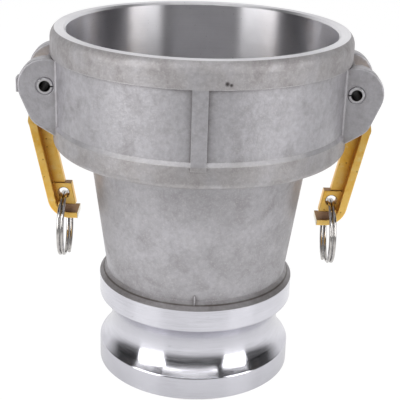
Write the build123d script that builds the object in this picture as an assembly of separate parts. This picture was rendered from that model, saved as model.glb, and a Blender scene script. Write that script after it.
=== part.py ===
"""Cam and groove reducer: a 4 inch female coupler above a 3 inch male adapter.

Millimetres, +Z up. The origin is the middle of the male end's bottom face, on
which the reducer stands. The two cam arms lie on +X and -X and turn about Y.
Sizes named "drop" are measured down from the rim of the socket. Sizes named
"out", "in" and "down" are measured from the pin that the arm turns on.
"""
import os
from math import cos, radians, sin, sqrt, tan

from build123d import *

# Heights of the casting, stacked up from the male end's face
nose_height = 11.0
groove_width = 24.0
collar_height = 10.0
bevel_height = 3.7
cone_height = 60.3
lower_band_height = 10.2
panel_height = 31.6
upper_band_height = 11.2

# Socket and the bands outside it
socket_radius = 60.05
socket_lead_in = 1.0
socket_land_drop = 18.0
socket_relief = 0.3
upper_band_wall = 6.95
lower_band_wall = 6.35
panel_depth = 1.7
rim_face_width = 5.05
rim_shoulder_height = 4.5
rim_shoulder_curve = 6.0
band_edge_rounding = 3.2
rib_width = 6.4

# Cone and male end
cone_top_radius = 50.5
cone_wall = 4.5
cone_root_rounding = 3.5
male_radius = 45.75
bevel_reach = 3.45
groove_depth = 5.75
groove_wall = 3.5
groove_edge_rounding = 1.2
nose_chamfer = 0.6

# Gasket and the recess that holds it
gasket_width = 10.9
gasket_thickness = 6.35
gasket_edge_rounding = 0.6
gasket_side_clearance = 0.3
gasket_top_clearance = 0.55
recess_undercut = 2.15
seat_wall = 4.4

# Ears that carry the arm pins
pin_stand_off = 7.3
pin_drop = 23.75
ear_gap = 24.0
ear_thickness = 8.0
ear_nose_radius = 11.9
ear_toe_down = 11.25
ear_toe_radius = 7.6
ear_foot_down = 26.0
ear_root_depth = 4.0
ear_root_radius = 1.0
ear_edge_rounding = 0.8
ear_corner_fillet = 1.4
pin_countersink = 0.7
window_top_clearance = 1.55
window_bottom_clearance = 0.95
saddle_wall = 4.25

# Marks left by the casting
gate_stub_height = 6.6
gate_stub_width = 5.6
gate_stub_depth = 0.8
parting_fin_width = 0.7
parting_fin_reach = 0.45
parting_fin_height = 2.6

# Spring pins
pin_radius = 3.5
pin_bore_radius = 2.35
pin_slot_width = 0.7
pin_end_chamfer = 0.35
pin_proud = 0.3

# Cam arms
arm_running_clearance = 0.06
arm_side_clearance = 1.0
cam_base_radius = 6.6
cam_lobe_radius = 3.6
cam_lobe_reach = 12.9
cam_lobe_dip = 25.0
lever_width = 12.5
lever_lean = 11.9
knee_out = 10.1
knee_down = 20.0
knee_radius = 4.0
flange_thickness = 3.6
lever_depth = 9.0
web_width = 3.2
pocket_top_down = 13.5
pocket_corner_radius = 1.5
lip_in = 11.65
lip_below_boss = 2.65
lip_thickness = 2.8
lip_bend_radius = 10.0
lever_edge_rounding = 0.45
boss_width = 4.8
boss_wall_above = 2.35
boss_wall_below = 3.15
boss_wall_top_in = 1.15
boss_wall_bottom_in = 3.0
boss_edge_rounding = 0.4
ring_hole_in = 4.9
ring_hole_down = 55.45
ring_hole_radius = 2.5
ring_hole_chamfer = 0.4

# Split rings
ring_outer_radius = 15.5
ring_wire_radius = 0.8
ring_coil_gap = 0.1
ring_coils = 2
ring_rest_gap = 0.2

# Levels and radii that follow
collar_bottom = nose_height + groove_width
collar_top = collar_bottom + collar_height
cone_base = collar_top + bevel_height
cone_top = cone_base + cone_height
lower_band_top = cone_top + lower_band_height
upper_band_bottom = lower_band_top + panel_height
rim = upper_band_bottom + upper_band_height
cone_base_radius = male_radius - bevel_reach
waterway_radius = male_radius - groove_depth - groove_wall
upper_band_radius = socket_radius + upper_band_wall
lower_band_radius = socket_radius + lower_band_wall
panel_radius = upper_band_radius - panel_depth
rim_face_radius = socket_radius + rim_face_width
seat = cone_top + seat_wall
recess_radius = socket_radius + recess_undercut
gasket_outer_radius = recess_radius - gasket_side_clearance
gasket_inner_radius = gasket_outer_radius - gasket_width
saddle_offset = socket_radius + saddle_wall
pin_offset = socket_radius + pin_stand_off
pin_height = rim - pin_drop
ear_inner_face = ear_gap / 2
ear_outer_face = ear_inner_face + ear_thickness
pin_length = 2 * (ear_outer_face + pin_proud)
window_top = pin_height + cam_base_radius + window_top_clearance
window_bottom = pin_height - cam_lobe_reach - window_bottom_clearance
arm_head_width = ear_gap - 2 * arm_side_clearance
boss_top_in = ring_hole_in + ring_hole_radius + boss_wall_top_in
boss_top_down = ring_hole_down - ring_hole_radius - boss_wall_above
boss_bottom_in = ring_hole_in + ring_hole_radius + boss_wall_bottom_in
boss_bottom_down = ring_hole_down + ring_hole_radius + boss_wall_below
lip_top_down = boss_bottom_down + lip_below_boss
lip_down = lip_top_down + lip_thickness
ring_mean_radius = ring_outer_radius - ring_wire_radius
ring_coil_pitch = 2 * ring_wire_radius + ring_coil_gap


def upright(sketch):
    """Stand a flat sketch up, so that its second axis points along +Z."""
    return Plane.XZ * sketch


def plate(sketch, inner, outer):
    """Solid of an upright outline, from Y inner to Y outer."""
    return Pos(0, outer, 0) * extrude(upright(sketch), amount=outer - inner)


def centred_plate(sketch, width):
    """Solid of an upright outline, centred on Y 0."""
    return plate(sketch, -width / 2, width / 2)


def disc(offset, height, radius):
    """Flat round outline at an offset and a height."""
    return Pos(offset, height) * Circle(radius)


def hull(*discs):
    """Outline stretched tight around flat round outlines."""
    return make_hull([disc.edge() for disc in discs])


def outline(*points):
    """Straight-sided flat outline through points."""
    return make_face(Polyline(*points, close=True).edges())


def round_corners(sketch, radius, *points):
    """Fillet the corners of an outline that lie at the given points."""
    corners = [sketch.vertices().sort_by_distance((x, y, 0))[0] for x, y in points]
    return fillet(corners, radius)


def turned(sketch):
    """Solid turned about the vertical axis from a flat half section."""
    return revolve(upright(sketch), Axis.Z)


def casting_section():
    """Half section of the casting's outside, from the nose to the rim."""
    groove_floor = (male_radius - groove_depth, nose_height + groove_width / 2)
    groove_foot = (male_radius, nose_height)
    groove_head = (male_radius, collar_bottom)
    shoulder_foot = (upper_band_radius, rim - rim_shoulder_height)
    lines = [
        Polyline((0, 0), (male_radius - nose_chamfer, 0), (male_radius, nose_chamfer), groove_foot),
        ThreePointArc(groove_foot, groove_floor, groove_head),
        Polyline(
            groove_head,
            (male_radius, collar_top),
            (cone_base_radius, cone_base),
            (cone_top_radius, cone_top),
            (lower_band_radius, cone_top),
            (lower_band_radius, lower_band_top),
            (panel_radius, lower_band_top + panel_depth),
            (panel_radius, upper_band_bottom),
            (upper_band_radius, upper_band_bottom),
            shoulder_foot,
        ),
        RadiusArc(shoulder_foot, (rim_face_radius, rim), -rim_shoulder_curve),
        Polyline((rim_face_radius, rim), (0, rim), (0, 0)),
    ]
    section = make_face([edge for line in lines for edge in line.edges()])
    section = round_corners(section, groove_edge_rounding, groove_foot, groove_head)
    section = round_corners(section, cone_root_rounding, (cone_top_radius, cone_top))
    return round_corners(section, band_edge_rounding, (lower_band_radius, cone_top))


def hollow_section():
    """Half section of the way through: waterway, cone, gasket recess and socket.

    The socket is a true cylinder down to its land, and opens a little below it.
    """
    recess_top = seat + gasket_thickness + gasket_top_clearance
    return outline(
        (0, 0),
        (waterway_radius, 0),
        (waterway_radius, collar_top),
        (cone_base_radius - cone_wall, cone_base),
        (cone_top_radius - cone_wall, cone_top),
        (gasket_inner_radius, seat),
        (recess_radius, seat),
        (recess_radius, recess_top),
        (socket_radius + socket_relief, recess_top),
        (socket_radius, rim - socket_land_drop),
        (socket_radius, rim - socket_lead_in),
        (socket_radius + socket_lead_in, rim),
        (0, rim),
    )


def ribs():
    """Vertical ribs on the parting plane, flush with the upper band."""
    middle = (lower_band_top + upper_band_bottom) / 2
    bar = Box(rib_width, 2 * upper_band_radius, panel_height + 2 * panel_depth)
    return Pos(0, 0, middle) * (Cylinder(upper_band_radius, panel_height + 2 * panel_depth) & bar)


def ear_outline():
    """Side view of one ear: round nose about the pin, round toe, straight root."""
    root = socket_radius - ear_root_depth
    root_top = pin_height + ear_nose_radius - ear_root_radius
    return hull(
        disc(pin_offset, pin_height, ear_nose_radius),
        disc(pin_offset, pin_height - ear_toe_down, ear_toe_radius),
        disc(root, pin_height - ear_foot_down, ear_root_radius),
        disc(root, root_top, ear_root_radius),
    )


def ear():
    """One ear on the +X, +Y quarter, with its cast edges rounded."""
    blank = plate(ear_outline(), ear_inner_face, ear_outer_face)
    faces = blank.faces().sort_by(Axis.Y)
    return fillet(faces[0].edges() + faces[-1].edges(), ear_edge_rounding)


def ear_corner():
    """Fillets in the two upright corners between the ears' outer faces and the panel."""
    meeting = sqrt(panel_radius**2 - ear_outer_face**2)
    plan = Circle(panel_radius) + Pos(pin_offset / 2, 0) * Rectangle(pin_offset, 2 * ear_outer_face)
    corners = [(meeting, ear_outer_face), (meeting, -ear_outer_face)]
    plan = round_corners(plan, ear_corner_fillet, *corners)
    height = ear_nose_radius - ear_edge_rounding + ear_toe_down + ear_toe_radius
    bottom = pin_height - ear_toe_down - ear_toe_radius
    near_ears = Pos(pin_offset, 0, bottom + height / 2) * Box(pin_stand_off * 2, 3 * ear_outer_face, height)
    return Pos(0, 0, bottom) * extrude(plan, amount=height) & near_ears


def arm_opening():
    """Window for the cam through the wall, and the flat that clears the lever."""
    reach = upper_band_radius
    window = outline(
        (cone_top_radius, window_bottom),
        (saddle_offset, window_bottom),
        (saddle_offset, 0),
        (saddle_offset + reach, 0),
        (saddle_offset + reach, window_top),
        (cone_top_radius, window_top),
    )
    return centred_plate(window, ear_gap)


def pin_hole():
    """Hole through both ears of one side, countersunk at its ends."""
    hole = Cylinder(pin_radius, 2 * ear_outer_face)
    sink = Cone(pin_radius, pin_radius + pin_countersink, pin_countersink)
    shift = ear_outer_face - pin_countersink / 2
    tool = hole + Pos(0, 0, shift) * sink + Pos(0, 0, -shift) * (Rot(180, 0, 0) * sink)
    return Pos(pin_offset, 0, pin_height) * (Rot(90, 0, 0) * tool)


def gate_stub():
    """Stub of the casting's feed, cut off on the nose of the left front ear."""
    nose = pin_offset + ear_nose_radius
    stub = Box(2 * gate_stub_depth, gate_stub_width, gate_stub_height)
    middle_y = -(ear_inner_face + ear_outer_face) / 2
    return Pos(-nose, middle_y, pin_height) * fillet(stub.edges(), gate_stub_depth / 2)


def parting_fin():
    """Thin fin of flash on the parting plane, where the cone meets the collar."""
    top = cone_base + parting_fin_height
    lean = (cone_top_radius - cone_base_radius) / cone_height
    cone_at_top = cone_base_radius + lean * parting_fin_height
    bevel_middle = (male_radius + cone_base_radius) / 2
    section = outline(
        (cone_base_radius - parting_fin_reach, cone_base),
        (bevel_middle, (collar_top + cone_base) / 2),
        (bevel_middle + parting_fin_reach, cone_base),
        (cone_at_top + parting_fin_reach / 2, top),
        (cone_at_top - parting_fin_reach, top),
    )
    fin = Pos(0, parting_fin_width / 2, 0) * extrude(upright(section), amount=parting_fin_width)
    return Rot(0, 0, -90) * fin + Rot(0, 0, 90) * fin


def reducer_body():
    """The one-piece casting, with its socket, ears, cone and machined male end."""
    right_ears = ear() + ear().mirror(Plane.XZ)
    left_ears = right_ears.mirror(Plane.YZ) + gate_stub()
    corners = ear_corner() + ear_corner().mirror(Plane.YZ)
    casting = turned(casting_section()) + ribs() + parting_fin()
    casting = casting + right_ears + left_ears + corners
    casting = casting - turned(hollow_section())
    tools = [arm_opening(), pin_hole()]
    for tool in tools:
        casting = casting - tool - tool.mirror(Plane.YZ)
    return casting


def gasket():
    """Flat rubber ring that lies on the seat at the bottom of the socket."""
    section = Pos(
        (gasket_inner_radius + gasket_outer_radius) / 2,
        seat + gasket_thickness / 2,
    ) * Rectangle(gasket_outer_radius - gasket_inner_radius, gasket_thickness)
    return turned(fillet(section.vertices(), gasket_edge_rounding))


def pivot_pin():
    """Slotted tubular spring pin, pressed into the two ears of the +X side."""
    tube = Cylinder(pin_radius, pin_length)
    tube = chamfer(tube.edges(), pin_end_chamfer)
    tube = tube - Cylinder(pin_bore_radius, pin_length)
    slot = Pos(-pin_radius, 0, 0) * Box(2 * pin_radius, pin_slot_width, pin_length)
    return Pos(pin_offset, 0, pin_height) * (Rot(90, 0, 0) * (tube - slot))


def at_arm(out, down):
    """Offset and height of a point given from the pin."""
    return (pin_offset + out, pin_height - down)


def lever_line(down):
    """How far out of the pin the lever's outer face is, at a level below it."""
    return knee_out - (down - knee_down) * tan(radians(lever_lean))


def flange_outline():
    """Outer strip of the lever, curled inward at the bottom into a finger lip."""
    across = flange_thickness / cos(radians(lever_lean))
    outer_corner = at_arm(lever_line(lip_down), lip_down)
    inner_corner = at_arm(lever_line(lip_top_down) - across, lip_top_down)
    strip = outline(
        at_arm(knee_out, knee_down),
        outer_corner,
        at_arm(-lip_in, lip_down),
        at_arm(-lip_in, lip_top_down),
        inner_corner,
        at_arm(knee_out - across, knee_down),
    )
    strip = round_corners(strip, lip_bend_radius, outer_corner)
    return round_corners(strip, lip_bend_radius - flange_thickness, inner_corner)


def web_outline():
    """Inner fin of the lever, from the knee down to the boss."""
    across = lever_depth / cos(radians(lever_lean))
    inside = flange_thickness / 2
    return outline(
        at_arm(lever_line(knee_down) - inside, knee_down),
        at_arm(lever_line(boss_bottom_down) - inside, boss_bottom_down),
        at_arm(lever_line(boss_bottom_down) - across, boss_bottom_down),
        at_arm(lever_line(knee_down) - across, knee_down),
    )


def boss_outline():
    """Thick end of the fin, around the hole for the pull ring."""
    inside = flange_thickness / 2
    return outline(
        at_arm(-boss_top_in, boss_top_down),
        at_arm(-boss_bottom_in, boss_bottom_down),
        at_arm(lever_line(boss_bottom_down) - inside, boss_bottom_down),
        at_arm(lever_line(boss_top_down) - inside, boss_top_down),
    )


def arm_head():
    """Hub on the pin with the cam lobe, and the neck down to the knee."""
    dip = radians(cam_lobe_dip)
    lobe_distance = cam_lobe_reach - cam_lobe_radius
    lobe_in = lobe_distance * cos(dip)
    lobe_down = lobe_distance * sin(dip)
    hub = disc(*at_arm(0, 0), cam_base_radius)
    cam = hull(hub, disc(*at_arm(-lobe_in, lobe_down), cam_lobe_radius))
    knee = disc(*at_arm(knee_out - knee_radius, knee_down), knee_radius)
    return centred_plate(cam, arm_head_width) + centred_plate(hull(hub, knee), lever_width)


def neck_pocket():
    """Hollow in the neck's +Y side, which carries the T section up between the ears."""
    neck_face = cam_base_radius + (knee_out - cam_base_radius) * pocket_top_down / knee_down
    bottom = knee_down + 2 * knee_radius
    top_corner = at_arm(neck_face - flange_thickness, pocket_top_down)
    knee_corner = at_arm(knee_out - flange_thickness, knee_down)
    pocket = outline(
        top_corner,
        knee_corner,
        at_arm(lever_line(bottom) - flange_thickness, bottom),
        at_arm(-lever_depth, bottom),
        at_arm(-lever_depth, pocket_top_down),
    )
    pocket = round_corners(pocket, pocket_corner_radius, top_corner)
    return plate(pocket, web_width / 2, lever_width)


def ring_hole():
    """Hole through the boss for the pull ring, with eased ends."""
    hole = Cylinder(ring_hole_radius, boss_width)
    flare = Cone(ring_hole_radius, ring_hole_radius + ring_hole_chamfer, ring_hole_chamfer)
    shift = (boss_width - ring_hole_chamfer) / 2
    tool = hole + Pos(0, 0, shift) * flare + Pos(0, 0, -shift) * (Rot(180, 0, 0) * flare)
    offset, height = at_arm(-ring_hole_in, ring_hole_down)
    return Pos(offset, 0, height) * (Rot(90, 0, 0) * tool)


def cam_arm():
    """Closed cam arm of the +X side: cam head, T-section lever, boss and lip."""
    strip = centred_plate(flange_outline(), lever_width)
    strip = fillet(strip.faces().filter_by(Axis.Y).edges(), lever_edge_rounding)
    web = centred_plate(web_outline(), web_width)
    boss = centred_plate(boss_outline(), boss_width)
    boss = fillet(boss.faces().filter_by(Axis.Y).edges(), boss_edge_rounding)
    head = arm_head() - neck_pocket() - neck_pocket().mirror(Plane.XZ)
    bore = Cylinder(pin_radius + arm_running_clearance, arm_head_width)
    bore = Pos(pin_offset, 0, pin_height) * (Rot(90, 0, 0) * bore)
    return head + strip + web + boss - bore - ring_hole()


def pull_ring():
    """Split ring of two coils that hangs low in the hole of the +X arm's boss."""
    reach = ring_hole_radius - ring_wire_radius - ring_rest_gap
    rest = sqrt(reach**2 - (ring_coil_pitch / 2) ** 2)
    height = ring_coils * ring_coil_pitch
    coil = Helix(ring_coil_pitch, height, ring_mean_radius)
    wire_plane = Plane(origin=coil @ 0, z_dir=coil % 0)
    ring = sweep(wire_plane * Circle(ring_wire_radius), path=coil)
    ring = Rot(0, 90, 0) * (Pos(0, 0, -height / 2) * ring)
    offset, centre = at_arm(-ring_hole_in, ring_hole_down + rest + ring_mean_radius)
    return Pos(offset, 0, centre) * ring


def main():
    """Build each piece and write it to its own file."""
    pieces = {
        "reducer_body": reducer_body(),
        "gasket": gasket(),
    }
    for name, piece in (("pivot_pin", pivot_pin()), ("cam_arm", cam_arm()), ("pull_ring", pull_ring())):
        pieces["right_" + name] = piece
        pieces["left_" + name] = piece.mirror(Plane.YZ)
    os.makedirs("parts", exist_ok=True)
    for name, piece in pieces.items():
        export_step(piece, "parts/" + name + ".step")


main()
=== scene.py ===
from math import cos, pi, radians, sin

import bmesh
import bpy
from mathutils import Matrix, Vector

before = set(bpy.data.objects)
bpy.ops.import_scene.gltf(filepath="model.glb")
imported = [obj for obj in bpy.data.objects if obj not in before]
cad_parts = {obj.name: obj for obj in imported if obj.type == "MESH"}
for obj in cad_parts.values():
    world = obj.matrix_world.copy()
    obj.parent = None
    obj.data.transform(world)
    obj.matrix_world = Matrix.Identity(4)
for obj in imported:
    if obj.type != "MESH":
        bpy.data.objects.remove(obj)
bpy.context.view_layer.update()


def rgb(red, green, blue):
    """Colour with full opacity."""
    return (red, green, blue, 1.0)


# Heights of the casting, in metres, where one finish gives way to another
RIM = 0.162
UPPER_BAND_BOTTOM = 0.1508
LOWER_BAND_TOP = 0.1192
LOWER_BAND_BOTTOM = 0.109
LOWER_BAND_LIP = 0.001
SEAT_LEVEL = 0.1134
# Painted light: between these two heights the cast skin turns paler towards the top
PAINTED_LIGHT_FROM = 0.1
PAINTED_LIGHT_TO = 0.125
COLLAR_TOP = 0.045

# Sloped strip under the panels: its height, soft edge, and reach from the vertical axis
BEVEL_HEIGHT = 0.0015
BEVEL_EDGE = 0.0002
BEVEL_REACH = 0.0665
BEVEL_REACH_EDGE = 0.0001

# Sloped ledge above the collar, darkened by dirt and painted shade: the painted dark line at the
# cone's foot, and where it fades out
LEDGE_LINE = 0.047
LEDGE_LINE_HALF = 0.0002
LEDGE_LINE_EDGE = 0.0003
LEDGE_TOP = 0.0492

# Reach of the socket's wall and of the male end from the vertical axis, and of the ears sideways
BORE_REACH = 0.0632
MALE_REACH = 0.0459
EAR_REACH = 0.056
EAR_BLEND = 0.004

# How softly most finishes meet, and how far a face's middle may lie from its plane
SOFT_EDGE = 0.0004
FACE_MARGIN = 0.0001

# Pins and the lips of the arms
PIN_REACH = 0.06735
PIN_LEVEL = 0.13825
PIN_BORE = 0.0024
PIN_BORE_EDGE = 0.00015
LIP_BOTTOM = 0.0705
LIP_TOP = 0.0752
LIP_INWARD_FROM = -0.03
LIP_INWARD_TO = -0.04

# Small pits in the cast skin: place, radius and radius at which they fade out
PITS = (
    ((0.0102, -0.0662, 0.1534), 0.0004, 0.0012),
    ((0.0118, -0.0660, 0.1529), 0.0003, 0.0009),
)

# How far grime, oxide and painted shade creep out of corners, and how wide edges are rubbed, on
# the skin with painted highlight, in metres
SKIN_GRIME_AND_SHADE_REACH = 0.006
SKIN_RUB_AND_HIGHLIGHT_WIDTH = 0.0007
BRASS_OXIDE_AND_SHADE_REACH = 0.012
BRASS_RUB_WIDTH = 0.0005

# Cast skin
SKIN_DARK = rgb(0.4, 0.39, 0.405)
SKIN_LIGHT = rgb(0.525, 0.515, 0.542)
# Painted light: pale grey laid over the upper part of the skin
SKIN_PAINTED_LIGHT = rgb(0.67, 0.66, 0.7)
SKIN_BAND = rgb(0.425, 0.4, 0.39)
SKIN_STAIN = rgb(0.3, 0.282, 0.288)
SKIN_BLEACH = rgb(0.56, 0.55, 0.57)
SKIN_SHADE = rgb(0.27, 0.255, 0.265)
SKIN_GLINT = rgb(0.66, 0.64, 0.64)
# Painted shade: darker grey laid over the ears
SKIN_EAR_PAINTED_SHADE = rgb(0.26, 0.245, 0.25)
SKIN_GRIME_AND_SHADE = rgb(0.13, 0.11, 0.105)
# Painted light: pale grey laid over the sloped strip under the panels
SKIN_BEVEL_PAINTED_LIGHT = rgb(0.7, 0.69, 0.69)
SKIN_LEDGE_DIRT_AND_SHADE = rgb(0.09, 0.075, 0.068)
SKIN_PIT = rgb(0.09, 0.08, 0.08)
# Wear and painted highlight: pale grey laid over the skin's edges
SKIN_RUBBED_AND_HIGHLIGHT = rgb(0.72, 0.71, 0.73)
SKIN_METALLIC = 0.85
RUBBED_ROUGHNESS = 0.38

# Lathe-cut metal: its two tones outside and inside, the cut's shadow and specks
TURNED_LIGHT = rgb(0.7, 0.695, 0.75)
TURNED_DARK = rgb(0.64, 0.635, 0.685)
BORED_LIGHT = rgb(0.82, 0.81, 0.84)
BORED_DARK = rgb(0.73, 0.72, 0.75)
CUT_SHADOW = rgb(0.45, 0.445, 0.46)
CUT_SPECK = rgb(0.3, 0.29, 0.3)
TURNED_PITCH = 0.00022
BORED_PITCH = 0.0003
CUT_DEPTH = 0.000002
SMEAR = 0.97
SMEAR_TURN = 0.25
RINGS_AROUND = 2.5

# Brass
BRASS_DEEP = rgb(0.99, 0.55, 0.085)
BRASS_GOLD = rgb(1.0, 0.69, 0.22)
BRASS_BRIGHT_FLECK = rgb(1.0, 0.82, 0.42)
BRASS_DARK_FLECK = rgb(0.65, 0.3, 0.03)
BRASS_HOLLOW_OXIDE_AND_SHADE = rgb(0.46, 0.19, 0.012)
BRASS_PIT = rgb(0.16, 0.08, 0.03)
# Painted shade: dark brown laid over brass faces that look up
BRASS_TOP_PAINTED_SHADE = rgb(0.13, 0.045, 0.01)
# Painted highlight: near white laid over the lips' tips
BRASS_TIP_PAINTED_HIGHLIGHT = rgb(0.95, 0.9, 0.78)
BRASS_RUBBED = rgb(0.95, 0.76, 0.42)

# Steel and rubber
PIN_STEEL = rgb(0.97, 0.96, 0.98)
RING_STEEL = rgb(0.6, 0.575, 0.555)
STEEL_DULLED = 0.72
STEEL_GRIME_AND_SHADE = rgb(0.05, 0.035, 0.03)
# Painted shade: near black laid inside the pins' bores
PIN_BORE_PAINTED_SHADE = rgb(0.02, 0.014, 0.013)
RUBBER_DARK = rgb(0.012, 0.012, 0.013)
RUBBER_LIGHT = rgb(0.03, 0.03, 0.031)

# Floor: its size and tone, its glow, and how much of the glow the camera and reflections see
FLOOR_RADIUS = 3.0
FLOOR_SIDES = 64
FLOOR_TONE = rgb(0.86, 0.86, 0.86)
FLOOR_ROUGHNESS = 0.9
FLOOR_GLOW = 1.09
FLOOR_GLOW_SHARE = 0.86
WHITE = rgb(1, 1, 1)

# Glow that polished metal sees, in metres: full behind the object, fading out with distance
# elsewhere to what is left far off, and dimmer right at the object's foot as a painted shadow
GLOW_BEHIND_FROM = 0.02
GLOW_BEHIND_TO = 0.12
GLOW_FADES_FROM = 0.15
GLOW_FADES_TO = 0.34
GLOW_FAR = 0.28
GLOW_PAINTED_SHADOW_FROM = 0.046
GLOW_PAINTED_SHADOW_TO = 0.09
GLOW_FOOT_PAINTED_SHADOW = 0.76

# Room seen in reflections: how bright its front, back and ceiling are, and how far a
# direction has to point backwards or upwards to look at the back or the ceiling
ROOM_FRONT = 0.03
ROOM_BACK = 0.9
ROOM_CEILING = 0.9
BACK_FROM = 0.25
BACK_TO = 0.6
CEILING_FROM = 0.86
CEILING_TO = 0.93

# Lamps: degrees round the object from the front, height, distance, width, length, brightness
LAMPS = (
    ("left_softbox", -53.5, 0.37, 1.1, 0.7, 0.72, 4.6),
    ("right_softbox", 54.5, 0.37, 1.1, 0.6, 0.72, 4.15),
    ("front_softbox", -3, 1.0, 0.95, 1.42, 0.28, 2.9),
)
LAMP_AIM = Vector((0, 0, 0.08))

# Camera: where it stands and how it is turned
CAMERA_PLACE = (0.0, -0.448, 0.2515)
CAMERA_YAW = -0.0027
CAMERA_PITCH = 0.3651
CAMERA_ROLL = 0.031
FOCAL_IN_PIXELS = 1021.0
PHOTO_WIDTH = 400.0
SENSOR_WIDTH = 36.0


# Node helpers


def add_node(tree, kind, inputs=None, **settings):
    """One node, with settings, and inputs that are either numbers or other nodes' outputs."""
    made = tree.nodes.new(kind)
    for key, value in settings.items():
        setattr(made, key, value)
    for key, value in (inputs or {}).items():
        if isinstance(value, bpy.types.NodeSocket):
            tree.links.new(value, made.inputs[key])
        else:
            made.inputs[key].default_value = value
    return made


def calculate(tree, operation, first, second=0.0):
    """Result of one Math node."""
    return add_node(tree, "ShaderNodeMath", {0: first, 1: second}, operation=operation).outputs[0]


def times(tree, first, second):
    """Product of two values."""
    return calculate(tree, "MULTIPLY", first, second)


def rest_of(tree, share):
    """What a share leaves of 1."""
    return calculate(tree, "SUBTRACT", 1.0, share)


def split(tree, vector):
    """The X, Y and Z of a vector."""
    return add_node(tree, "ShaderNodeSeparateXYZ", {0: vector}).outputs


def flat_length(tree, across, along):
    """Length of the flat line that runs so far across and so far along."""
    flat = add_node(tree, "ShaderNodeCombineXYZ", {0: across, 1: along}).outputs[0]
    return add_node(tree, "ShaderNodeVectorMath", {0: flat}, operation="LENGTH").outputs["Value"]


def noise(tree, place, scale, detail, roughness, distortion=0.0):
    """Grey noise at a place, between 0 and 1."""
    inputs = {
        "Vector": place,
        "Scale": scale,
        "Detail": detail,
        "Roughness": roughness,
        "Distortion": distortion,
    }
    return add_node(tree, "ShaderNodeTexNoise", inputs).outputs[0]


def ramp(tree, value, low, high, start=0.0, end=1.0):
    """Value moved from the range low..high to start..end, and held there outside it."""
    inputs = {"Value": value, "From Min": low, "From Max": high, "To Min": start, "To Max": end}
    return add_node(tree, "ShaderNodeMapRange", inputs, clamp=True).outputs[0]


def blend(tree, share, first, second):
    """Number between first and second."""
    inputs = {0: share, 2: first, 3: second}
    return add_node(tree, "ShaderNodeMix", inputs, data_type="FLOAT").outputs[0]


def tint(tree, share, first, second):
    """Colour between first and second."""
    inputs = {0: share, 6: first, 7: second}
    return add_node(tree, "ShaderNodeMix", inputs, data_type="RGBA").outputs[2]


def stain(tree, colour, pattern, low, high, most, shade):
    """Colour with up to most of a shade over it, as a pattern goes from low to high."""
    return tint(tree, ramp(tree, pattern, low, high, 0.0, most), colour, shade)


def bump(tree, height, depth, strength, under=None):
    """Normal of a surface raised by height times depth, in metres."""
    inputs = {"Height": height, "Distance": depth, "Strength": strength}
    if under is not None:
        inputs["Normal"] = under
    return add_node(tree, "ShaderNodeBump", inputs).outputs[0]


def new_finish(name):
    """Empty material: its tree, its shader and its Object coordinates."""
    material = bpy.data.materials.new(name)
    material.use_nodes = True
    tree = material.node_tree
    shader = tree.nodes["Principled BSDF"]
    place = tree.nodes.new("ShaderNodeTexCoord").outputs["Object"]
    return material, tree, shader, place


def fill_shader(tree, shader, colour, metallic, roughness, normal):
    """Lead a finish's colour, roughness and normal into its shader."""
    tree.links.new(colour, shader.inputs["Base Color"])
    shader.inputs["Metallic"].default_value = metallic
    tree.links.new(roughness, shader.inputs["Roughness"])
    tree.links.new(normal, shader.inputs["Normal"])


# Finishes


def near_corner(tree, radius, low, high):
    """Share of a sharp corner within a radius: 0 on open faces, 1 at an edge."""
    softened = add_node(tree, "ShaderNodeBevel", {"Radius": radius}, samples=6).outputs[0]
    true = tree.nodes.new("ShaderNodeNewGeometry").outputs["Normal"]
    match = add_node(tree, "ShaderNodeVectorMath", {0: softened, 1: true}, operation="DOT_PRODUCT")
    return ramp(tree, match.outputs["Value"], high, low)


def openness(tree, distance):
    """How open a spot is to its own piece's surroundings: 0 in a crevice, 1 in the open."""
    made = add_node(
        tree, "ShaderNodeAmbientOcclusion", {"Distance": distance}, samples=8, only_local=True
    )
    return made.outputs["AO"]


def at_height(tree, height, low, high, edge=SOFT_EDGE):
    """1 between two heights, falling to 0 just outside them."""
    above = ramp(tree, height, low - edge, low)
    below = ramp(tree, height, high, high + edge, 1.0, 0.0)
    return times(tree, above, below)


def spot_mask(tree, place, centre, inner, outer):
    """1 at a spot, falling to 0 at its rim."""
    far = add_node(tree, "ShaderNodeVectorMath", {0: place, 1: centre}, operation="DISTANCE")
    return ramp(tree, far.outputs["Value"], inner, outer, 1.0, 0.0)


def bevel_strip(tree, parts, ears):
    """Share of the sloped strip under the panels, which leaves out the ears and the rib."""
    strip = at_height(
        tree, parts[2], LOWER_BAND_TOP, LOWER_BAND_TOP + BEVEL_HEIGHT, BEVEL_EDGE
    )
    strip = times(tree, strip, rest_of(tree, ears))
    reach = flat_length(tree, parts[0], parts[1])
    within = ramp(tree, reach, BEVEL_REACH, BEVEL_REACH + BEVEL_REACH_EDGE, 1.0, 0.0)
    return times(tree, strip, within)


def ledge_dirt_and_shade(tree, height, mottle):
    """Share of dirt and painted shade on the sloped ledge: half below its line, full on it, fading
    out above.
    """
    foot = ramp(tree, height, LEDGE_LINE, LEDGE_TOP, 0.5, 0.0)
    above_line = ramp(tree, height, LEDGE_LINE - LEDGE_LINE_HALF, LEDGE_LINE)
    foot = times(tree, foot, above_line)
    ledge = calculate(tree, "MAXIMUM", foot, times(tree, rest_of(tree, above_line), 0.5))
    line = at_height(
        tree, height, LEDGE_LINE - LEDGE_LINE_HALF, LEDGE_LINE + LEDGE_LINE_HALF, LEDGE_LINE_EDGE
    )
    ledge = calculate(tree, "MAXIMUM", ledge, line)
    return times(tree, ledge, ramp(tree, mottle, 0.3, 0.7, 0.75, 0.95))


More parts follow.
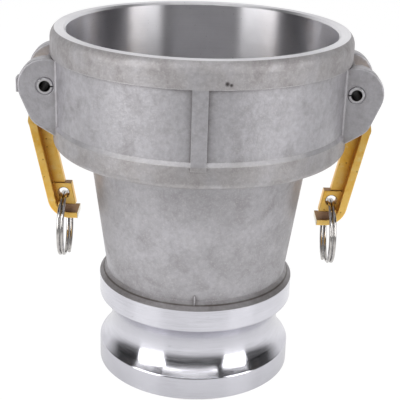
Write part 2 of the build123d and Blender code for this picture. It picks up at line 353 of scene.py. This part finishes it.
def cast_aluminium():
    """Grey cast skin: coarse grain, mottling, grime and painted shade in corners, and edges rubbed
    bright with painted highlight.
    """
    material, tree, shader, place = new_finish("cast_aluminium_skin")
    clouds = noise(tree, place, 26.0, 4.0, 0.55)
    mottle = noise(tree, place, 95.0, 5.0, 0.62, 0.4)
    coarse = noise(tree, place, 480.0, 3.0, 0.6)
    grain = noise(tree, place, 1250.0, 3.0, 0.65)
    parts = split(tree, place)
    height = parts[2]

    # Tone of the skin, with painted light making it paler towards the top, and warmer on the two
    # bands
    colour = tint(tree, ramp(tree, clouds, 0.34, 0.66), SKIN_DARK, SKIN_LIGHT)
    colour = stain(tree, colour, height, PAINTED_LIGHT_FROM, PAINTED_LIGHT_TO, 0.42, SKIN_PAINTED_LIGHT)
    upper_band = ramp(tree, height, UPPER_BAND_BOTTOM - SOFT_EDGE, UPPER_BAND_BOTTOM)
    lower_band = at_height(tree, height, LOWER_BAND_BOTTOM - LOWER_BAND_LIP, LOWER_BAND_TOP)
    bands = calculate(tree, "MAXIMUM", upper_band, lower_band)
    bands = times(tree, bands, ramp(tree, mottle, 0.3, 0.6, 0.35, 1.0))
    colour = tint(tree, times(tree, bands, 0.7), colour, SKIN_BAND)

    # Mottling and grain
    colour = stain(tree, colour, mottle, 0.52, 0.74, 0.55, SKIN_STAIN)
    colour = stain(tree, colour, mottle, 0.46, 0.26, 0.5, SKIN_BLEACH)
    colour = stain(tree, colour, coarse, 0.35, 0.66, 0.3, SKIN_SHADE)
    colour = stain(tree, colour, grain, 0.52, 0.72, 0.4, SKIN_GLINT)

    # Painted shade on the ears, grime and painted shade in corners, painted light on the strip,
    # dirt and painted shade on the ledge, and the pits
    ears = ramp(tree, calculate(tree, "ABSOLUTE", parts[0]), EAR_REACH, EAR_REACH + EAR_BLEND)
    # Painted shade: the ears are made darker than the rest of the skin
    colour = tint(tree, times(tree, ears, 0.12), colour, SKIN_EAR_PAINTED_SHADE)
    bevel = bevel_strip(tree, parts, ears)
    # Grime and painted shade: the skin darkens where its own corners close in
    crevice = ramp(tree, openness(tree, SKIN_GRIME_AND_SHADE_REACH), 0.9, 0.45)
    crevice = times(tree, crevice, rest_of(tree, bevel))
    colour = tint(tree, times(tree, crevice, 0.65), colour, SKIN_GRIME_AND_SHADE)
    # Painted light: the sloped strip under the panels is made paler
    bevel = times(tree, bevel, ramp(tree, mottle, 0.35, 0.6, 0.1, 0.35))
    colour = tint(tree, bevel, colour, SKIN_BEVEL_PAINTED_LIGHT)
    # Dirt and painted shade on the ledge above the collar, darkest in a line at the cone's foot
    colour = tint(tree, ledge_dirt_and_shade(tree, height, mottle), colour, SKIN_LEDGE_DIRT_AND_SHADE)
    for centre, inner, outer in PITS:
        colour = tint(tree, spot_mask(tree, place, centre, inner, outer), colour, SKIN_PIT)

    # Edges rubbed bright and smooth, with painted highlight, in patches and outside the corners
    worn_and_highlight = near_corner(tree, SKIN_RUB_AND_HIGHLIGHT_WIDTH, 0.86, 0.97)
    worn_and_highlight = times(tree, worn_and_highlight, ramp(tree, mottle, 0.4, 0.56))
    worn_and_highlight = times(tree, worn_and_highlight, ramp(tree, crevice, 0.0, 0.5, 0.75, 0.0))
    colour = tint(tree, worn_and_highlight, colour, SKIN_RUBBED_AND_HIGHLIGHT)

    rough = ramp(tree, mottle, 0.3, 0.7, 0.44, 0.6)
    rough = calculate(tree, "ADD", rough, times(tree, upper_band, 0.1))
    rough = blend(tree, worn_and_highlight, rough, RUBBED_ROUGHNESS)
    normal = bump(tree, mottle, 0.00035, 0.35)
    normal = bump(tree, coarse, 0.00018, 0.6, normal)
    normal = bump(tree, grain, 0.00009, 0.7, normal)
    fill_shader(tree, shader, colour, SKIN_METALLIC, rough, normal)
    return material


def round_the_axis(tree, place):
    """Direction that runs round the vertical axis at a spot."""
    inputs = {0: (0.0, 0.0, 1.0), 1: place}
    turn = add_node(tree, "ShaderNodeVectorMath", inputs, operation="CROSS_PRODUCT").outputs[0]
    return add_node(tree, "ShaderNodeVectorMath", {0: turn}, operation="NORMALIZE").outputs[0]


def turned_place(tree, place, around, pitch):
    """Coordinates in which a noise runs as fine rings round the vertical axis."""
    parts = split(tree, place)
    turn = split(tree, around)
    along = calculate(tree, "ADD", flat_length(tree, parts[0], parts[1]), parts[2])
    inputs = {
        0: times(tree, turn[0], RINGS_AROUND),
        1: times(tree, turn[1], RINGS_AROUND),
        2: calculate(tree, "DIVIDE", along, pitch),
    }
    return add_node(tree, "ShaderNodeCombineXYZ", inputs).outputs[0]


def lathe_finish(name, light, dark, pitch, smooth, coarse):
    """Lathe-cut aluminium, whose fine rings smear reflections up and down the cut."""
    material, tree, shader, place = new_finish(name)
    around = round_the_axis(tree, place)
    rings = noise(tree, turned_place(tree, place, around, pitch), 1.0, 3.0, 0.65)
    clouds = noise(tree, place, 55.0, 4.0, 0.6)
    specks = noise(tree, place, 700.0, 2.0, 0.5)
    colour = tint(tree, ramp(tree, clouds, 0.3, 0.7), dark, light)
    colour = stain(tree, colour, rings, 0.35, 0.7, 0.12, CUT_SHADOW)
    colour = stain(tree, colour, specks, 0.7, 0.78, 0.5, CUT_SPECK)
    rough = ramp(tree, rings, 0.38, 0.62, smooth, coarse)
    fill_shader(tree, shader, colour, 1.0, rough, bump(tree, rings, CUT_DEPTH, 1.0))
    shader.inputs["Anisotropic"].default_value = SMEAR
    shader.inputs["Anisotropic Rotation"].default_value = SMEAR_TURN
    tree.links.new(around, shader.inputs["Tangent"])
    return material


def forged_brass():
    """Tumbled brass: golden and flecked, browned by oxide and painted shade in hollows and by
    painted shade on top, with painted highlight at the lips' tips and pale edges.
    """
    material, tree, shader, place = new_finish("tumbled_brass")
    clouds = noise(tree, place, 110.0, 4.0, 0.6)
    grain = noise(tree, place, 1500.0, 3.0, 0.6)
    flecks = noise(tree, place, 420.0, 3.0, 0.6)
    cells = add_node(
        tree, "ShaderNodeTexVoronoi", {"Vector": place, "Scale": 260.0, "Randomness": 1.0}
    )
    pit = ramp(tree, cells.outputs[0], 0.05, 0.14, 1.0, 0.0)

    colour = tint(tree, ramp(tree, clouds, 0.32, 0.68), BRASS_DEEP, BRASS_GOLD)
    colour = stain(tree, colour, flecks, 0.56, 0.7, 0.45, BRASS_BRIGHT_FLECK)
    colour = stain(tree, colour, flecks, 0.44, 0.3, 0.25, BRASS_DARK_FLECK)
    # Oxide and painted shade: the brass browns where its own hollows close in
    crevice = ramp(tree, openness(tree, BRASS_OXIDE_AND_SHADE_REACH), 0.95, 0.4)
    colour = tint(tree, times(tree, crevice, 0.85), colour, BRASS_HOLLOW_OXIDE_AND_SHADE)
    colour = tint(tree, times(tree, pit, 0.6), colour, BRASS_PIT)

    # Painted shade browns the faces that look up, and painted highlight makes the tips of the lips
    # near white where they look inwards
    facing = split(tree, tree.nodes.new("ShaderNodeTexCoord").outputs["Normal"])
    colour = stain(tree, colour, facing[2], 0.55, 0.85, 0.85, BRASS_TOP_PAINTED_SHADE)
    parts = split(tree, place)
    # Painted highlight: the inward-facing tips of the lips are made near white
    inward = ramp(tree, times(tree, parts[0], facing[0]), LIP_INWARD_FROM, LIP_INWARD_TO)
    lip_tip_highlight = times(tree, inward, at_height(tree, parts[2], LIP_BOTTOM, LIP_TOP))
    colour = tint(tree, lip_tip_highlight, colour, BRASS_TIP_PAINTED_HIGHLIGHT)
    edge = times(tree, near_corner(tree, BRASS_RUB_WIDTH, 0.85, 0.97), 0.5)
    colour = tint(tree, edge, colour, BRASS_RUBBED)

    rough = ramp(tree, clouds, 0.3, 0.7, 0.3, 0.45)
    normal = bump(tree, grain, 0.00006, 0.5)
    normal = bump(tree, rest_of(tree, pit), 0.00012, 0.6, normal)
    fill_shader(tree, shader, colour, 1.0, rough, normal)
    return material


def bright_steel(name, light, smooth, dull, grime_and_shade_reach):
    """Bright steel with fine scratches and dull patches, grime and painted shade in crevices, and
    near-black painted shade in a pin's bore.
    """
    material, tree, shader, place = new_finish(name)
    scratches = noise(tree, place, 1900.0, 2.0, 0.6, 1.5)
    clouds = noise(tree, place, 320.0, 3.0, 0.5)
    dark = rgb(*(STEEL_DULLED * part for part in light[:3]))
    colour = tint(tree, ramp(tree, clouds, 0.35, 0.7), light, dark)
    # Grime and painted shade: the steel darkens where its own crevices close in
    crevice = ramp(tree, openness(tree, grime_and_shade_reach), 0.8, 0.35)
    colour = tint(tree, times(tree, crevice, 0.9), colour, STEEL_GRIME_AND_SHADE)
    # Painted shade: near black inside the pin's bore, where only shade falls
    parts = split(tree, place)
    beside = calculate(tree, "SUBTRACT", calculate(tree, "ABSOLUTE", parts[0]), PIN_REACH)
    above = calculate(tree, "SUBTRACT", parts[2], PIN_LEVEL)
    far = flat_length(tree, beside, above)
    inside = ramp(tree, far, PIN_BORE, PIN_BORE + PIN_BORE_EDGE, 1.0, 0.0)
    colour = tint(tree, inside, colour, PIN_BORE_PAINTED_SHADE)
    rough = ramp(tree, clouds, 0.3, 0.7, smooth, dull)
    fill_shader(tree, shader, colour, 1.0, rough, bump(tree, scratches, 0.00003, 0.3))
    return material


def gasket_rubber():
    """Matt black moulded rubber."""
    material, tree, shader, place = new_finish("moulded_rubber")
    clouds = noise(tree, place, 120.0, 4.0, 0.6)
    grain = noise(tree, place, 1800.0, 2.0, 0.5)
    colour = tint(tree, ramp(tree, clouds, 0.3, 0.7), RUBBER_DARK, RUBBER_LIGHT)
    rough = ramp(tree, clouds, 0.3, 0.7, 0.5, 0.7)
    fill_shader(tree, shader, colour, 0.0, rough, bump(tree, grain, 0.00004, 0.5))
    return material


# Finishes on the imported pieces


def dress(node, *finishes):
    """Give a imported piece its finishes, the first one everywhere."""
    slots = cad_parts[node].data.materials
    slots.clear()
    for finish in finishes:
        slots.append(finish)


def finish_of(face):
    """Which of the casting's finishes a face has: cast 0, turned 1 or bored 2."""
    spot = face.center
    reach = (spot.x ** 2 + spot.y ** 2) ** 0.5
    if spot.z < COLLAR_TOP + FACE_MARGIN and reach < MALE_REACH:
        return 1
    if spot.z > RIM - FACE_MARGIN:
        return 2
    if spot.z > SEAT_LEVEL - FACE_MARGIN and reach < BORE_REACH:
        return 2
    return 0


cast = cast_aluminium()
turned = lathe_finish(
    "turned_aluminium", TURNED_LIGHT, TURNED_DARK, TURNED_PITCH, smooth=0.14, coarse=0.23
)
bored = lathe_finish(
    "bored_aluminium", BORED_LIGHT, BORED_DARK, BORED_PITCH, smooth=0.3, coarse=0.33
)
brass = forged_brass()
pin_steel = bright_steel("spring_steel", PIN_STEEL, smooth=0.28, dull=0.4, grime_and_shade_reach=0.002)
ring_steel = bright_steel("plated_wire", RING_STEEL, smooth=0.12, dull=0.22, grime_and_shade_reach=0.0008)

dress("reducer_body", cast, turned, bored)
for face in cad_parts["reducer_body"].data.polygons:
    face.material_index = finish_of(face)
dress("gasket", gasket_rubber())
for side in ("left", "right"):
    dress(side + "_pivot_pin", pin_steel)
    dress(side + "_cam_arm", brass)
    dress(side + "_pull_ring", ring_steel)


# Studio


def floor_finish():
    """Pale paper with a soft shadow. The camera sees it glow white. Polished metal sees it glow
    too, dimmer right at the object as a painted shadow, and fading out a little way in front of
    it."""
    material, tree, shader, place = new_finish("floor_paper")
    shader.inputs["Base Color"].default_value = FLOOR_TONE
    shader.inputs["Roughness"].default_value = FLOOR_ROUGHNESS
    far = add_node(tree, "ShaderNodeVectorMath", {0: place}, operation="LENGTH").outputs["Value"]
    behind = ramp(tree, split(tree, place)[1], GLOW_BEHIND_FROM, GLOW_BEHIND_TO)
    near = ramp(tree, far, GLOW_FADES_FROM, GLOW_FADES_TO, 1.0, GLOW_FAR)
    # Painted shadow: the glow that metal sees is dimmed near the object's foot
    foot = ramp(tree, far, GLOW_PAINTED_SHADOW_FROM, GLOW_PAINTED_SHADOW_TO, GLOW_FOOT_PAINTED_SHADOW, 1.0)
    sheet = times(tree, calculate(tree, "MAXIMUM", behind, near), foot)
    rays = tree.nodes.new("ShaderNodeLightPath").outputs
    strength = times(tree, calculate(tree, "MAXIMUM", sheet, rays["Is Camera Ray"]), FLOOR_GLOW)
    glow = add_node(tree, "ShaderNodeEmission", {"Color": WHITE, "Strength": strength})
    seen = calculate(tree, "MAXIMUM", rays["Is Camera Ray"], rays["Is Glossy Ray"])
    inputs = {0: times(tree, seen, FLOOR_GLOW_SHARE), 1: shader.outputs[0], 2: glow.outputs[0]}
    both = add_node(tree, "ShaderNodeMixShader", inputs)
    tree.links.new(both.outputs[0], tree.nodes["Material Output"].inputs["Surface"])
    return material


def build_floor():
    """Flat round floor under the object."""
    mesh = bpy.data.meshes.new("floor")
    shape = bmesh.new()
    bmesh.ops.create_circle(shape, cap_ends=True, segments=FLOOR_SIDES, radius=FLOOR_RADIUS)
    shape.to_mesh(mesh)
    shape.free()
    floor = bpy.data.objects.new("floor", mesh)
    bpy.context.scene.collection.objects.link(floor)
    mesh.materials.append(floor_finish())


def build_world():
    """White to the camera; to the object a pale backdrop and ceiling and a dim room in front."""
    world = bpy.data.worlds.new("studio")
    bpy.context.scene.world = world
    world.use_nodes = True
    tree = world.node_tree
    shader = tree.nodes["Background"]
    parts = split(tree, tree.nodes.new("ShaderNodeTexCoord").outputs["Generated"])
    rays = tree.nodes.new("ShaderNodeLightPath").outputs
    backdrop = ramp(tree, parts[1], BACK_FROM, BACK_TO, ROOM_FRONT, ROOM_BACK)
    ceiling = ramp(tree, parts[2], CEILING_FROM, CEILING_TO)
    room = blend(tree, ceiling, backdrop, ROOM_CEILING)
    strength = blend(tree, rays["Is Camera Ray"], room, 1.0)
    tree.links.new(strength, shader.inputs["Strength"])
    shader.inputs["Color"].default_value = WHITE


def softbox(name, azimuth, place_height, distance, width, length, brightness):
    """Large rectangular lamp that faces the middle of the object."""
    spot = Vector((distance * sin(azimuth), -distance * cos(azimuth), place_height))
    lamp = bpy.data.lights.new(name, "AREA")
    lamp.shape = "RECTANGLE"
    lamp.size = width
    lamp.size_y = length
    lamp.energy = brightness * pi * width * length
    made = bpy.data.objects.new(name, lamp)
    made.location = spot
    made.rotation_euler = (spot - LAMP_AIM).to_track_quat("Z", "Y").to_euler()
    bpy.context.scene.collection.objects.link(made)


def build_camera():
    """Camera at the photograph's place and angle."""
    camera = bpy.data.cameras.new("camera")
    camera.sensor_width = SENSOR_WIDTH
    camera.lens = FOCAL_IN_PIXELS / PHOTO_WIDTH * SENSOR_WIDTH
    made = bpy.data.objects.new("camera", camera)
    bpy.context.scene.collection.objects.link(made)
    made.matrix_world = (
        Matrix.Translation(CAMERA_PLACE)
        @ Matrix.Rotation(CAMERA_YAW, 4, "Z")
        @ Matrix.Rotation(pi / 2 - CAMERA_PITCH, 4, "X")
        @ Matrix.Rotation(CAMERA_ROLL, 4, "Z")
    )
    bpy.context.scene.camera = made


build_floor()
build_world()
for lamp_name, degrees_round, *measures in LAMPS:
    softbox(lamp_name, radians(degrees_round), *measures)
build_camera()
bpy.context.scene.view_settings.view_transform = "Standard"
